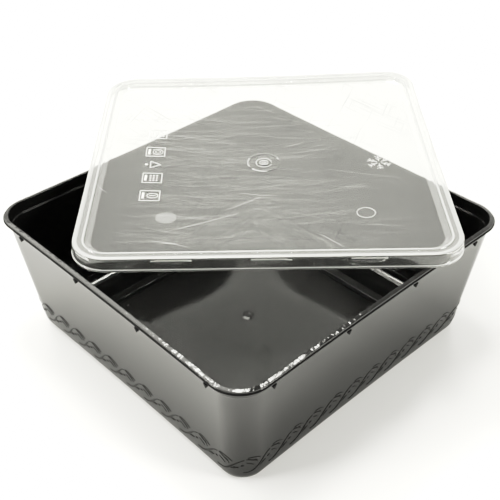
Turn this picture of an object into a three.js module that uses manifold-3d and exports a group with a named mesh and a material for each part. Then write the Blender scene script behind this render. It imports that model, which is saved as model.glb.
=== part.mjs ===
// Square microwave food container: a deep black moulded tub, with its clear
// press-fit lid lying loose and turned on top of the rim. Millimetres, +Z up.
// Both pieces are lofted from a section (inset from the outer side, height)
// swept round a square with rounded corners.
import * as THREE from 'three';
import { mergeVertices } from 'three/addons/utils/BufferGeometryUtils.js';
import Module from 'manifold-3d';

// ---- tub: driving dimensions ----
const RIM_SIDE = 215;          // outer side of the rim flange
const RIM_CORNER = 19;         // outer corner radius of the rim flange
const RIM_TOP = 81.5;          // top of the flange above the table
const FLANGE = 1.2;            // thickness of the flange's free edge
const FLANGE_REACH = 2.6;      // how far the flange stands out from the wall
const SEAL_RISE = 1.1;         // sealing bead above the flange
const SEAL_WIDTH = 1.5;        // width of the sealing bead
const SEAL_INSET = 2.7;        // from the flange's edge to the bead
const SEAL_CHAMFER = 0.3;      // small bevels of the bead and the flange's edge
const GROOVE = 0.25;           // shallow groove between flange and bead
const TUB_WALL = 1.1;          // moulded wall thickness
const STEP_TOP = 76;           // stacking step under the rim: upper level
const STEP_LOW = 75.3;         // and lower level
const STEP_OUT = 0.6;          // how far the wall steps out there
const BAND_DRAFT = 0.2;        // draft of the short band above the step
const BASE_SIDE = 192.5;       // outer side at the top of the bottom edge's round
const BASE_CORNER = 14.5;      // vertical corner radius at the base
const BASE_ROUND = 8;          // radius of the bottom edge's round
const SIDE_BOW = 0.7;          // long sides pull in this much at their middle
const FOOT_INNER = 70;         // half side of the hollow inside the standing foot
const FOOT_SLOPE = 3;          // width of the slope from the foot to the hollow
const FOOT_RISE = 1.6;         // depth of that hollow at its edge
const FLOOR_DOME = 1.9;        // further rise of the floor to its middle
const FLOOR_CORNER = 3;        // smallest corner radius in the floor

// ---- denesting lugs under the stacking step ----
const LUG_PLACES = [-81.3, -27.2, 27.2, 81.3]; // along each side
const LUG_WIDTH = 4;
const LUG_HEIGHT = 3.9;
const LUG_PROUD = 1.0;         // stands out from the wall
const LUG_ROOT = 0.55;         // sunk into the wall
const LUG_DROP = 0.1;          // top of the lug below the step

// ---- lid: driving dimensions ----
const LID_SIDE = 217.6;        // outer side at the skirt's lip
const LID_CORNER = 20.8;       // corner radius at the lip
const LID_HEIGHT = 8;          // lip to the top of the border
const LID_WALL = 0.7;          // film thickness of the moulding
const LIP_HEIGHT = 1.1;        // stiffening lip along the skirt's edge
const LIP_PROUD = 0.5;         // lip stands out from the skirt
const LIP_EASE = 0.4;          // height over which it runs into the skirt
const SKIRT_LEAN = 0.15;       // skirt leans in over its height
const BORDER_ROUND = 1.3;      // round between skirt and border top
const RAIL_DIP = 0.35;         // shallow dip between the border's two rails
const RAIL_WIDTH = 0.7;        // width of the inner rail's round
const BORDER_WIDTH = 7.3;      // outer side of the lip to the border's inner edge
const INNER_LEAN = 0.9;        // border's inner wall leans in over its height
const PANEL_ROUND = 0.6;       // round between that wall and the panel
const PANEL_RECESS = 3.2;      // panel edge below the border's top
const PANEL_SAG = 3.4;         // panel's middle below its edge
const PANEL_CORNER = 0.12;     // corner radius within the panel, as a share of its side
const CORNER_CURL = 4.5;       // one corner curls up
const CURL_POWER = 2.5;        // how sharply the curl sets in towards the corner

// ---- how the lid lies on the tub ----
const LID_TURN = 47.3;         // degrees
const LID_SHIFT = [-32.5, 45];
const LID_GAP = 0.4;           // clearance between the lip and the sealing bead

// ---- fineness of the lofted surfaces ----
const CORNER_STEPS = 7;
const SIDE_STEPS = 8;
const ROUND_STEPS = 5;
const BORDER_STEPS = 3;
const FLOOR_SHARES = [0.25, 0.5, 0.75, 1];
const PANEL_SHARES = [0.92, 0.75, 0.5, 0.25];

// One closed loop of points round a square with rounded corners, counter-clockwise
// seen from above. half is the half side, radius the corner radius, and bow pulls
// each straight side in at its middle.
function squareLoop(half, radius, z, bow = 0) {
  const loop = [];
  const centre = half - radius;
  for (let quarter = 0; quarter < 4; quarter += 1) {
    const start = quarter * Math.PI / 2;
    const cx = centre * (quarter === 0 || quarter === 3 ? 1 : -1);
    const cy = centre * (quarter < 2 ? 1 : -1);
    for (let k = 0; k <= CORNER_STEPS; k += 1) {
      const angle = start + (Math.PI / 2) * k / CORNER_STEPS;
      loop.push(new THREE.Vector3(cx + radius * Math.cos(angle), cy + radius * Math.sin(angle), z));
    }
    const facing = start + Math.PI / 2;
    const corner = loop[loop.length - 1];
    for (let k = 1; k < SIDE_STEPS && centre > 0; k += 1) {
      const along = 2 * k / SIDE_STEPS;
      const pull = bow * (1 - (along - 1) ** 2);
      const x = corner.x - Math.sin(facing) * centre * along - Math.cos(facing) * pull;
      const y = corner.y + Math.cos(facing) * centre * along - Math.sin(facing) * pull;
      loop.push(new THREE.Vector3(x, y, z));
    }
  }
  return loop;
}

// Closed mesh through a stack of equal loops, from a lower middle point round to
// an upper middle point.
function loft(first, loops, last) {
  const count = loops[0].length;
  const points = [first, ...loops.flat(), last];
  const index = [];
  const at = (ring, k) => 1 + ring * count + (k % count);
  for (let k = 0; k < count; k += 1) {
    index.push(0, at(0, k + 1), at(0, k));
    for (let ring = 0; ring < loops.length - 1; ring += 1) {
      index.push(at(ring, k), at(ring, k + 1), at(ring + 1, k + 1));
      index.push(at(ring, k), at(ring + 1, k + 1), at(ring + 1, k));
    }
    index.push(at(loops.length - 1, k), at(loops.length - 1, k + 1), points.length - 1);
  }
  const geometry = new THREE.BufferGeometry().setFromPoints(points);
  geometry.setIndex(index);
  return geometry;
}

// Points of a quarter round in the section, from angle a0 to a1 in degrees.
function roundOver(halfCentre, zCentre, radius, a0, a1, steps) {
  return Array.from({ length: steps + 1 }, (_, k) => {
    const angle = THREE.MathUtils.degToRad(a0 + (a1 - a0) * k / steps);
    return [halfCentre + radius * Math.cos(angle), zCentre + radius * Math.sin(angle)];
  });
}

// ---- tub ----
const RIM_HALF = RIM_SIDE / 2;
const BASE_HALF = BASE_SIDE / 2;
const WALL_TOP_HALF = RIM_HALF - FLANGE_REACH;
const STEP_HALF = WALL_TOP_HALF - BAND_DRAFT - STEP_OUT;
const DRAFT = (STEP_HALF - BASE_HALF) / (STEP_LOW - BASE_ROUND);

// Outer half side of the wall between the bottom round and the stacking step.
const wallHalf = (z) => BASE_HALF + (z - BASE_ROUND) * DRAFT;

// Corner radius that belongs to a half side: it follows the outline in the rim
// and eases to the base's own radius down the wall.
function tubCorner(half, z) {
  if (z >= STEP_LOW) return RIM_CORNER - (RIM_HALF - half);
  const top = RIM_CORNER - (RIM_HALF - STEP_HALF);
  const share = Math.max(0, (z - BASE_ROUND) / (STEP_LOW - BASE_ROUND));
  const radius = BASE_CORNER + (top - BASE_CORNER) * share;
  const inset = (z > BASE_ROUND ? wallHalf(z) : BASE_HALF) - half;
  return Math.max(Math.min(half, FLOOR_CORNER), radius - inset);
}

// Height of the hollow under the floor at a half side: a shallow dome.
const domeRise = (half) => FOOT_RISE + FLOOR_DOME * (1 - (half / FOOT_INNER) ** 2);

function tubSection() {
  const footEdge = BASE_HALF - BASE_ROUND;
  const hollow = FOOT_INNER - FOOT_SLOPE;
  const sealOuter = RIM_HALF - SEAL_INSET;
  const sealInner = sealOuter - SEAL_WIDTH;
  const sealTop = RIM_TOP + SEAL_RISE;
  const domeSteps = FLOOR_SHARES.map((share) => share * hollow);
  const under = domeSteps.map((half) => [half, domeRise(half)]);
  const floor = domeSteps.map((half) => [half, domeRise(half) + TUB_WALL]).reverse();
  return [
    ...under,
    [FOOT_INNER, 0],
    ...roundOver(footEdge, BASE_ROUND, BASE_ROUND, -90, 0, ROUND_STEPS),
    [STEP_HALF, STEP_LOW],
    [STEP_HALF + STEP_OUT, STEP_TOP],
    [WALL_TOP_HALF, RIM_TOP - FLANGE],
    [RIM_HALF, RIM_TOP - FLANGE],
    [RIM_HALF, RIM_TOP - SEAL_CHAMFER],
    [RIM_HALF - SEAL_CHAMFER, RIM_TOP],
    [sealOuter + 2 * SEAL_CHAMFER, RIM_TOP],
    [sealOuter + SEAL_CHAMFER, RIM_TOP - GROOVE],
    [sealOuter, RIM_TOP],
    [sealOuter - SEAL_CHAMFER, sealTop],
    [sealInner + SEAL_CHAMFER, sealTop],
    [sealInner, sealTop - SEAL_CHAMFER],
    [STEP_HALF + STEP_OUT - TUB_WALL, STEP_TOP - TUB_WALL / 2],
    [STEP_HALF - TUB_WALL, STEP_LOW - TUB_WALL / 2],
    ...roundOver(footEdge, BASE_ROUND, BASE_ROUND - TUB_WALL, 0, -90, ROUND_STEPS),
    [FOOT_INNER, TUB_WALL],
    ...floor,
  ];
}

function tubShell() {
  const loops = tubSection().map(([half, z]) => {
    const bow = SIDE_BOW * Math.min(1, half / BASE_HALF);
    return squareLoop(half, tubCorner(half, z), z, bow);
  });
  const middle = domeRise(0);
  return loft(new THREE.Vector3(0, 0, middle), loops, new THREE.Vector3(0, 0, middle + TUB_WALL));
}

// One lug: a downward-pointing triangle just under the stacking step.
function lugSolid(place, side) {
  const outline = new THREE.Shape([
    new THREE.Vector2(-LUG_WIDTH / 2, 0),
    new THREE.Vector2(0, -LUG_HEIGHT),
    new THREE.Vector2(LUG_WIDTH / 2, 0),
  ]);
  const lug = new THREE.ExtrudeGeometry(outline, {
    depth: LUG_PROUD + LUG_ROOT, bevelEnabled: false,
  });
  const straight = STEP_HALF - tubCorner(STEP_HALF, STEP_LOW);
  const pull = SIDE_BOW * (1 - Math.min(1, Math.abs(place) / straight) ** 2);
  const z = STEP_LOW - LUG_DROP;
  lug.rotateX(Math.PI / 2);
  lug.rotateX(Math.atan(DRAFT));
  lug.translate(place, -(wallHalf(z) - pull - LUG_ROOT), z);
  lug.rotateZ(side * Math.PI / 2);
  return lug;
}

// Booleans: three.js geometry to a solid and back.
const manifold = await Module();
manifold.setup();

const WELD = 1e-4; // points closer than this are one

function toSolid(geometry) {
  const bare = new THREE.BufferGeometry();
  bare.setAttribute('position', geometry.getAttribute('position'));
  bare.setIndex(geometry.getIndex());
  const merged = mergeVertices(bare, WELD);
  return new manifold.Manifold(new manifold.Mesh({
    numProp: 3,
    vertProperties: new Float32Array(merged.getAttribute('position').array),
    triVerts: new Uint32Array(merged.getIndex().array),
  }));
}

function toGeometry(solid) {
  const mesh = solid.getMesh();
  const geometry = new THREE.BufferGeometry();
  geometry.setAttribute('position', new THREE.BufferAttribute(mesh.vertProperties, mesh.numProp));
  geometry.setIndex(new THREE.BufferAttribute(mesh.triVerts, 1));
  return geometry;
}

function tubMesh() {
  let solid = toSolid(tubShell());
  for (let side = 0; side < 4; side += 1) {
    for (const place of LUG_PLACES) solid = solid.add(toSolid(lugSolid(place, side)));
  }
  const geometry = toGeometry(solid);
  geometry.computeVertexNormals();
  const black = new THREE.MeshStandardMaterial({ color: 0x101010, roughness: 0.32, metalness: 0 });
  const mesh = new THREE.Mesh(geometry, black);
  mesh.name = 'tub';
  return mesh;
}

// ---- lid ----
const LID_HALF = LID_SIDE / 2;

// Upper surface of the lid from the lip inwards: skirt, border with two rails,
// inner wall and sagging panel.
function lidTopSection() {
  const skirt = LID_HALF - LIP_PROUD;
  const top = LID_HEIGHT;
  const shoulder = skirt - SKIRT_LEAN;
  const borderInner = LID_HALF - BORDER_WIDTH;
  const middle = (shoulder - BORDER_ROUND + borderInner) / 2;
  const panel = top - PANEL_RECESS;
  const panelHalf = borderInner - INNER_LEAN;
  const sagging = PANEL_SHARES.map((share) => (
    [panelHalf * share, panel - PANEL_SAG * (1 - share * share)]));
  return [
    [LID_HALF, 0],
    [LID_HALF, LIP_HEIGHT],
    [skirt, LIP_HEIGHT + LIP_EASE],
    ...roundOver(shoulder - BORDER_ROUND, top - BORDER_ROUND, BORDER_ROUND, 0, 90, BORDER_STEPS),
    [middle, top - RAIL_DIP],
    [borderInner + RAIL_WIDTH, top],
    [borderInner, top - RAIL_WIDTH],
    [panelHalf + PANEL_ROUND / 2, panel + PANEL_ROUND / 2],
    [panelHalf - PANEL_ROUND, panel],
    ...sagging,
  ];
}

// The same section moved in by the film thickness, square to the surface.
function offsetSection(section, distance) {
  return section.map(([half, z], k) => {
    const [h0, z0] = section[Math.max(k - 1, 0)];
    const [h1, z1] = section[Math.min(k + 1, section.length - 1)];
    const length = Math.hypot(h1 - h0, z1 - z0);
    const across = (z1 - z0) / length;
    const along = (h1 - h0) / length;
    return [half - across * distance, z + along * distance];
  });
}

// The curled corner: everything beyond the middle rises towards it.
function curlUp(point) {
  const share = Math.max(0, (point.x + point.y) / LID_SIDE);
  point.z += CORNER_CURL * share ** CURL_POWER;
  return point;
}

function lidMesh() {
  const upper = lidTopSection();
  const lower = offsetSection(upper, LID_WALL);
  lower[0] = [LID_HALF - LID_WALL, 0];
  lower[1] = [LID_HALF - LID_WALL, LIP_HEIGHT];
  const corner = (half) => Math.max(
    LID_CORNER - (LID_HALF - half), PANEL_CORNER * half);
  const loops = [...lower.reverse(), ...upper].map(([half, z]) => (
    squareLoop(half, corner(half), z).map(curlUp)));
  const middle = LID_HEIGHT - PANEL_RECESS - PANEL_SAG;
  const geometry = loft(
    new THREE.Vector3(0, 0, middle - LID_WALL), loops, new THREE.Vector3(0, 0, middle));
  geometry.computeVertexNormals();
  const clear = new THREE.MeshStandardMaterial({
    color: 0xe4e6e1, roughness: 0.2, metalness: 0, transparent: true, opacity: 0.45,
  });
  const mesh = new THREE.Mesh(geometry, clear);
  mesh.name = 'lid';
  mesh.rotation.z = THREE.MathUtils.degToRad(LID_TURN);
  mesh.position.set(LID_SHIFT[0], LID_SHIFT[1], RIM_TOP + SEAL_RISE + LID_GAP);
  return mesh;
}

// The origin is at the middle of the whole footprint, on the table.
const container = new THREE.Group();
container.add(tubMesh(), lidMesh());
const extent = new THREE.Box3().setFromObject(container, true);
container.position.set(
  -(extent.min.x + extent.max.x) / 2, -(extent.min.y + extent.max.y) / 2, -extent.min.z);

const part = new THREE.Group();
part.add(container);
export default part;
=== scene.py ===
"""A square microwave food container: a deep black tub with its clear lid lying turned across the rim.

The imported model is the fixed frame. Each class below holds the sizes of one sub-assembly in
millimetres, in the tub's or the lid's own frame, and makes its meshes in metres in the row frame.
"""

import logging
import math
from dataclasses import dataclass, field
from enum import Enum, IntEnum
from typing import Callable, Mapping, Sequence

import bpy
import numpy as np
from bpy.types import ID, Material, Node, NodeSocket, NodeTree, Object
from mathutils import Matrix, Vector


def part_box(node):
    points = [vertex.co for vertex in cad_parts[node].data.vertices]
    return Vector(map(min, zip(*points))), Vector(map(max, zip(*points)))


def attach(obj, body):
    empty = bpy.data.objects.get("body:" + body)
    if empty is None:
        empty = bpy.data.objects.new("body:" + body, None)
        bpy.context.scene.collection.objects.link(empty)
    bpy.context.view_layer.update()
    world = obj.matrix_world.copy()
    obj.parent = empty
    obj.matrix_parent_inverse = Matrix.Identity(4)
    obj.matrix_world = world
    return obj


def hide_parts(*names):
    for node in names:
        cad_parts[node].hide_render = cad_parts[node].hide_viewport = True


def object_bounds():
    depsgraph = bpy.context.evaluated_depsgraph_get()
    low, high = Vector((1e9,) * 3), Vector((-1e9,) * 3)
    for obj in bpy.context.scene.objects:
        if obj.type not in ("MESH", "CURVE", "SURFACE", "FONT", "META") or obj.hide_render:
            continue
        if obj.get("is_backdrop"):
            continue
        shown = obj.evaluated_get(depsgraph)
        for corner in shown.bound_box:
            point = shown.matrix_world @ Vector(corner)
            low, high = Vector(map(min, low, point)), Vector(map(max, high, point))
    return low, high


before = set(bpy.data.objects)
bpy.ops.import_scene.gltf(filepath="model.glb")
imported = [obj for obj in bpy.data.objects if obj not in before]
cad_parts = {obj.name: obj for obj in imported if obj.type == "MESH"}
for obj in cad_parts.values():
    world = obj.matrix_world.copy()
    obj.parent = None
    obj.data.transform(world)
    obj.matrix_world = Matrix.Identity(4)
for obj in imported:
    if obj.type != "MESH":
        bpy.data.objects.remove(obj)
CAD_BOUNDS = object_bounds()

MM = 0.001
BODY = "root"
LOG = logging.getLogger("container")

Array = np.ndarray
Pair = tuple[float, float]
Triple = tuple[float, float, float]
Curve = tuple[Pair, ...]
Section = list[Pair]
Placer = Callable[[Array, Array, Array], Array]

WARM_WHITE: Triple = (1.0, 0.99, 0.92)
# A round takes at most this share of the shorter piece beside its knee.
ROUND_SHARE = 0.49
# A knee that turns by less than this stays as it is.
LEAST_TURN = 0.02


class Slot(Enum):
    """The record's material slots."""

    TUB = "tub_plastic"
    LID = "lid_plastic"


# ---------------------------------------------------------------- sections and loops


@dataclass(frozen=True)
class Knee:
    """A corner of a section line: half side of the loop there, height, and the radius that rounds it."""

    half: float
    z: float
    radius: float = 0.0

    @property
    def point(self) -> Array:
        """The knee as (half, z)."""
        return np.array((self.half, self.z))


def unit(vector: Array) -> Array:
    """The vector at length one."""
    return vector / np.linalg.norm(vector)


def divided(points: Sequence[Array], longest: float) -> list[Array]:
    """Cuts a line's straight pieces shorter.

    Args:
        points: the line's points.
        longest: no piece is longer than this.

    Returns:
        The points, without the line's last one.
    """
    line = []
    for start, end in zip(points, points[1:]):
        pieces = max(1, math.ceil(float(np.linalg.norm(end - start)) / longest))
        line.extend(start + (end - start) * k / pieces for k in range(pieces))
    return line


def fillet(before: Knee, knee: Knee, after: Knee, steps: int) -> list[Array]:
    """Rounds one knee of a section line.

    Args:
        before: the knee before it.
        knee: the knee to round.
        after: the knee after it.
        steps: how many pieces the round has.

    Returns:
        The points that take the knee's place.
    """
    back = before.point - knee.point
    ahead = after.point - knee.point
    reach_limit = ROUND_SHARE * min(np.linalg.norm(back), np.linalg.norm(ahead))
    back, ahead = unit(back), unit(ahead)
    opening = math.acos(float(np.clip(back @ ahead, -1.0, 1.0)))
    if knee.radius <= 0 or opening > math.pi - LEAST_TURN:
        return [knee.point]
    reach = min(knee.radius / math.tan(opening / 2), reach_limit)
    radius = reach * math.tan(opening / 2)
    centre = knee.point + unit(back + ahead) * radius / math.sin(opening / 2)
    start = knee.point + back * reach - centre
    end = knee.point + ahead * reach - centre
    sweep = math.pi - opening
    shares = [k / steps for k in range(steps + 1)]
    return [
        centre + (math.sin((1 - s) * sweep) * start + math.sin(s * sweep) * end) / math.sin(sweep)
        for s in shares
    ]


def section_line(knees: Sequence[Knee], steps: int, longest: float) -> Section:
    """Section line through rounded knees.

    Args:
        knees: the corners in order.
        steps: pieces in each round.
        longest: no straight piece is longer than this.

    Returns:
        The points as (half, z).
    """
    points = [knees[0].point]
    for before, knee, after in zip(knees, knees[1:], knees[2:]):
        points.extend(fillet(before, knee, after, steps))
    points.append(knees[-1].point)
    return [tuple(point) for point in (*divided(points, longest), points[-1])]


def offset_knees(knees: Sequence[Knee], distance: float, radius: float) -> list[Knee]:
    """The same knees moved square to the section line, to its left.

    Args:
        knees: corners of the section line.
        distance: how far they move.
        radius: radius that rounds the moved knees.

    Returns:
        The moved knees.
    """
    normals = []
    for start, end in zip(knees, knees[1:]):
        along = unit(end.point - start.point)
        normals.append(np.array((-along[1], along[0])))
    normals = [normals[0], *normals, normals[-1]]
    moved = []
    for knee, first, second in zip(knees, normals, normals[1:]):
        half, z = knee.point + (first + second) / (1 + first @ second) * distance
        moved.append(Knee(float(half), float(z), radius))
    return moved


@dataclass(frozen=True)
class Loop:
    """A loop round a square with rounded corners, counter-clockwise seen from above."""

    points: Array
    normals: Array


@dataclass(frozen=True)
class LoopSteps:
    """How finely the loops of a shell are divided."""

    corner: int
    side: int

    def loop(self, half: float, radius: float, bow: float = 0.0) -> Loop:
        """One loop.

        Args:
            half: half side of the square.
            radius: corner radius.
            bow: how far each straight side is pulled in at its middle.

        Returns:
            The loop's points and outward normals.
        """
        centre = half - radius
        angles = np.linspace(0.0, math.pi / 2, self.corner + 1)
        round_normals = np.stack((np.cos(angles), np.sin(angles)), axis=1)
        along = np.linspace(0.0, 2.0, self.side + 1)[1:-1]
        pull = bow * (1.0 - (along - 1.0) ** 2)
        side = np.stack((centre - centre * along, half - pull), axis=1)
        side_normals = np.tile((0.0, 1.0), (len(along), 1))
        quarter = np.concatenate((centre + radius * round_normals, side))
        quarter_normals = np.concatenate((round_normals, side_normals))
        points, normals = [], []
        for turn in range(4):
            cos, sin = round(math.cos(turn * math.pi / 2)), round(math.sin(turn * math.pi / 2))
            rotation = np.array(((cos, sin), (-sin, cos)))
            points.append(quarter @ rotation)
            normals.append(quarter_normals @ rotation)
        return Loop(np.concatenate(points), np.concatenate(normals))


def rounding_off(outer: Array, share: float, circle_share: float) -> Array:
    """A smaller copy of a loop that turns into a circle towards the middle.

    Args:
        outer: (n, 2) points of the loop that it starts from.
        share: size of the copy, against that loop.
        circle_share: the copy is a circle at this share and below.

    Returns:
        The copy's points.
    """
    reach = float(np.abs(outer).max())
    round_loop = outer / np.linalg.norm(outer, axis=1, keepdims=True) * reach
    squareness = float(smooth_step(np.array(share), circle_share, 1.0))
    return share * (round_loop + (outer - round_loop) * squareness)


def smooth_step(value: Array, low: float, high: float) -> Array:
    """Rises smoothly from 0 at low to 1 at high."""
    share = np.clip((value - low) / (high - low), 0.0, 1.0)
    return share * share * (3.0 - 2.0 * share)


# ---------------------------------------------------------------- meshes


def into_scene(name: str, data: ID) -> Object:
    """A new object of a mesh, light or camera, in the scene.

    Args:
        name: the object's name.
        data: its mesh, light or camera.

    Returns:
        The object.
    """
    made = bpy.data.objects.new(name, data)
    bpy.context.scene.collection.objects.link(made)
    return made


@dataclass
class MeshParts:
    """Vertices and faces that are gathered for one piece, in metres."""

    points: list[Array] = field(default_factory=list)
    faces: list[Sequence[int]] = field(default_factory=list)
    finishes: list[int] = field(default_factory=list)
    count: int = 0

    def add(self, points: Array, faces: Sequence[Sequence[int]]) -> None:
        """Adds some points and the faces over them, in the piece's first material.

        Args:
            points: (n, 3) places.
            faces: corner numbers, counted from the first of these points.
        """
        self.points.append(points)
        self.faces.extend(tuple(corner + self.count for corner in face) for face in faces)
        self.finishes.extend([0] * len(faces))
        self.count += len(points)

    def piece(self, name: str, materials: Sequence[Material], slot: Slot) -> Object:
        """Makes the Blender object and puts it on the body.

        Args:
            name: the piece's name.
            materials: its materials, in the order of the finish numbers.
            slot: the record's material slot; not used.

        Returns:
            The new object.
        """
        mesh = bpy.data.meshes.new(name)
        mesh.from_pydata(np.concatenate(self.points).tolist(), [], self.faces)
        for material in materials:
            mesh.materials.append(material)
        mesh.polygons.foreach_set("material_index", self.finishes)
        mesh.polygons.foreach_set("use_smooth", [True] * len(mesh.polygons))
        mesh.validate()
        mesh.update()
        made = into_scene(name, mesh)
        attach(made, BODY)
        LOG.info("%s: %d points, %d faces", name, len(mesh.vertices), len(mesh.polygons))
        return made


def shell_faces(rings: int, around: int) -> list[tuple[int, ...]]:
    """Faces of a shell through a stack of loops, closed by a middle point at each end.

    Args:
        rings: how many loops there are.
        around: how many points each has.

    Returns:
        Faces over the points: first middle, loops in order, last middle.
    """
    last = 1 + rings * around
    after = [(k + 1) % around for k in range(around)]
    faces: list[tuple[int, ...]] = [(0, 1 + after[k], 1 + k) for k in range(around)]
    for ring in range(rings - 1):
        low = 1 + ring * around
        high = low + around
        faces.extend((low + k, low + after[k], high + after[k], high + k) for k in range(around))
    top = last - around
    faces.extend((top + k, top + after[k], last) for k in range(around))
    return faces


@dataclass(frozen=True)
class Rib:
    """Section of a raised line: its height above the surface, how deep it is sunk, its shoulders."""

    height: float
    sunk: float
    shoulder: float = 0.7

    def lines(self, width: float) -> list[Pair]:
        """The section of a line of that width, as (across, height).

        Args:
            width: the line's width.

        Returns:
            Seven points, from one side to the other.
        """
        half = width / 2
        crown = half * self.shoulder
        return [
            (-half, -self.sunk),
            (-half, 0.35 * self.height),
            (-crown, 0.85 * self.height),
            (0.0, self.height),
            (crown, 0.85 * self.height),
            (half, 0.35 * self.height),
            (half, -self.sunk),
        ]


def raised_line(
    parts: MeshParts, path: Array, widths: Array, rib: Rib, place: Placer, closed: bool = False,
) -> None:
    """Adds a raised line along a path on a surface.

    Args:
        parts: where the mesh goes.
        path: (n, 2) points on the surface.
        widths: the line's width at each of them.
        rib: its section.
        place: gives the points in space for surface coordinates and height.
        closed: whether the path runs back into its start.
    """
    if closed:
        forward = np.roll(path, -1, axis=0) - np.roll(path, 1, axis=0)
    else:
        forward = np.gradient(path, axis=0)
    forward /= np.linalg.norm(forward, axis=1, keepdims=True)
    across = np.stack((forward[:, 1], -forward[:, 0]), axis=1)
    rings = []
    for spot, side, width in zip(path, across, widths):
        section = np.array(rib.lines(float(width)))
        flat = spot + section[:, :1] * side
        rings.append(place(flat[:, 0], flat[:, 1], section[:, 1]))
    around = len(rings[0])
    total = len(rings)
    faces = []
    for ring in range(total if closed else total - 1):
        low, high = ring * around, ((ring + 1) % total) * around
        for k in range(around):
            after = (k + 1) % around
            faces.append((low + k, low + after, high + after, high + k))
    if not closed:
        faces.append(tuple(reversed(range(around))))
        faces.append(tuple((total - 1) * around + k for k in range(around)))
    parts.add(np.concatenate(rings), faces)


def bezier(ends: Sequence[Pair], steps: int) -> Array:
    """Points of the Bezier curve with those control points.

    Args:
        ends: the control points.
        steps: how many pieces the curve has.

    Returns:
        (steps + 1, 2) points.
    """
    t = np.linspace(0.0, 1.0, steps + 1)[:, None]
    level = [np.tile(point, (steps + 1, 1)).astype(float) for point in ends]
    while len(level) > 1:
        level = [a * (1 - t) + b * t for a, b in zip(level, level[1:])]
    return level[0]


def circle(centre: Pair, radius: float, steps: int = 24, squash: float = 1.0) -> Array:
    """Points round a circle, or an oval whose height is squash times its width."""
    angles = np.linspace(0.0, 2 * math.pi, steps, endpoint=False)
    return np.array(centre) + np.stack((radius * np.cos(angles), squash * radius * np.sin(angles)), axis=1)


def polyline(corners: Sequence[Pair], step: float, closed: bool = False) -> Array:
    """Points along straight pieces, no further apart than step.

    Args:
        corners: where the pieces meet.
        step: the points' greatest distance.
        closed: whether it runs back into its start.

    Returns:
        (n, 2) points.
    """
    ends = [np.array(corner, float) for corner in corners]
    if closed:
        return np.array(divided([*ends, ends[0]], step))
    return np.array([*divided(ends, step), ends[-1]])


# ---------------------------------------------------------------- materials


class Graph:
    """A short way to write a node tree."""

    def __init__(self, tree: NodeTree) -> None:
        """Starts on an empty tree."""
        self.tree = tree
        tree.nodes.clear()

    def node(self, kind: str, feeds: Mapping[str | int, object] | None = None, **settings: object) -> Node:
        """Adds a node.

        Args:
            kind: the node's type.
            feeds: numbers or sockets for its inputs, by their names or places.
            settings: its properties.

        Returns:
            The node.
        """
        made = self.tree.nodes.new(kind)
        for name, value in settings.items():
            setattr(made, name, value)
        for key, value in (feeds or {}).items():
            self.feed(made.inputs[key], value)
        return made

    def feed(self, socket: NodeSocket, value: object) -> None:
        """Gives a socket a number or joins it to another socket.

        Args:
            socket: the input socket.
            value: a number, a vector or an output socket.
        """
        if isinstance(value, NodeSocket):
            self.tree.links.new(value, socket)
        else:
            socket.default_value = value

    def math(self, operation: str, *values: object, clamp: bool = False) -> NodeSocket:
        """The result of a Math node fed with numbers or sockets, kept between 0 and 1 if clamped."""
        made = self.node("ShaderNodeMath", dict(enumerate(values)), operation=operation, use_clamp=clamp)
        return made.outputs[0]

    def above(self, value: object, level: float, gain: float, clamp: bool = False) -> NodeSocket:
        """How far a value lies above a level, times a gain."""
        return self.math("MULTIPLY", self.math("SUBTRACT", value, level), gain, clamp=clamp)

    def noise(self, where: NodeSocket, scale: object, detail: float) -> NodeSocket:
        """Fractal noise between 0 and 1 at that scale."""
        made = self.node("ShaderNodeTexNoise", {"Vector": where, "Scale": scale, "Detail": detail})
        return made.outputs["Fac"]

    def group(self, tree: NodeTree, feeds: Mapping[str, object]) -> Node:
        """Places a node group and feeds its inputs."""
        return self.node("ShaderNodeGroup", feeds, node_tree=tree)


def start_group(
    name: str, inputs: Mapping[str, float | None], outputs: Sequence[str],
) -> tuple[Graph, dict[str, NodeSocket], dict[str, NodeSocket]]:
    """Starts a shader node group.

    Args:
        name: the group's name.
        inputs: number inputs with their values, and vector inputs with None.
        outputs: names of the number outputs.

    Returns:
        Its graph, its input sockets and its output sockets by name.
    """
    tree = bpy.data.node_groups.new(name, "ShaderNodeTree")
    for key, value in inputs.items():
        kind = "NodeSocketVector" if value is None else "NodeSocketFloat"
        made = tree.interface.new_socket(key, in_out="INPUT", socket_type=kind)
        if value is not None:
            made.default_value = value
    for key in outputs:
        tree.interface.new_socket(key, in_out="OUTPUT", socket_type="NodeSocketFloat")
    graph = Graph(tree)
    given = graph.node("NodeGroupInput").outputs
    result = graph.node("NodeGroupOutput").inputs
    return graph, {key: given[key] for key in inputs}, {key: result[key] for key in outputs}


def moulded_skin() -> NodeTree:
    """The skin of a moulded surface: long shallow waves from cooling, and the mould's fine grain.

    Returns:
        The group.
    """
    inputs = {"Vector": None, "Wave": 1.0, "Grain": 1.0, "Grain Scale": 3000.0}
    graph, given, result = start_group("moulded_skin", inputs, ("Height", "Tone"))
    long_waves = graph.noise(given["Vector"], 14.0, 1.0)
    short_waves = graph.noise(given["Vector"], 60.0, 2.0)
    grain = graph.noise(given["Vector"], given["Grain Scale"], 2.0)
    waves = graph.math("MULTIPLY_ADD", short_waves, 0.18, long_waves)
    grained = graph.math("MULTIPLY", grain, given["Grain"])
    graph.feed(result["Height"], graph.math("MULTIPLY_ADD", waves, given["Wave"], grained))
    long_tone = graph.math("MULTIPLY", long_waves, 0.4)
    graph.feed(result["Tone"], graph.math("MULTIPLY_ADD", short_waves, 0.6, long_tone))
    return graph.tree


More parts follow.
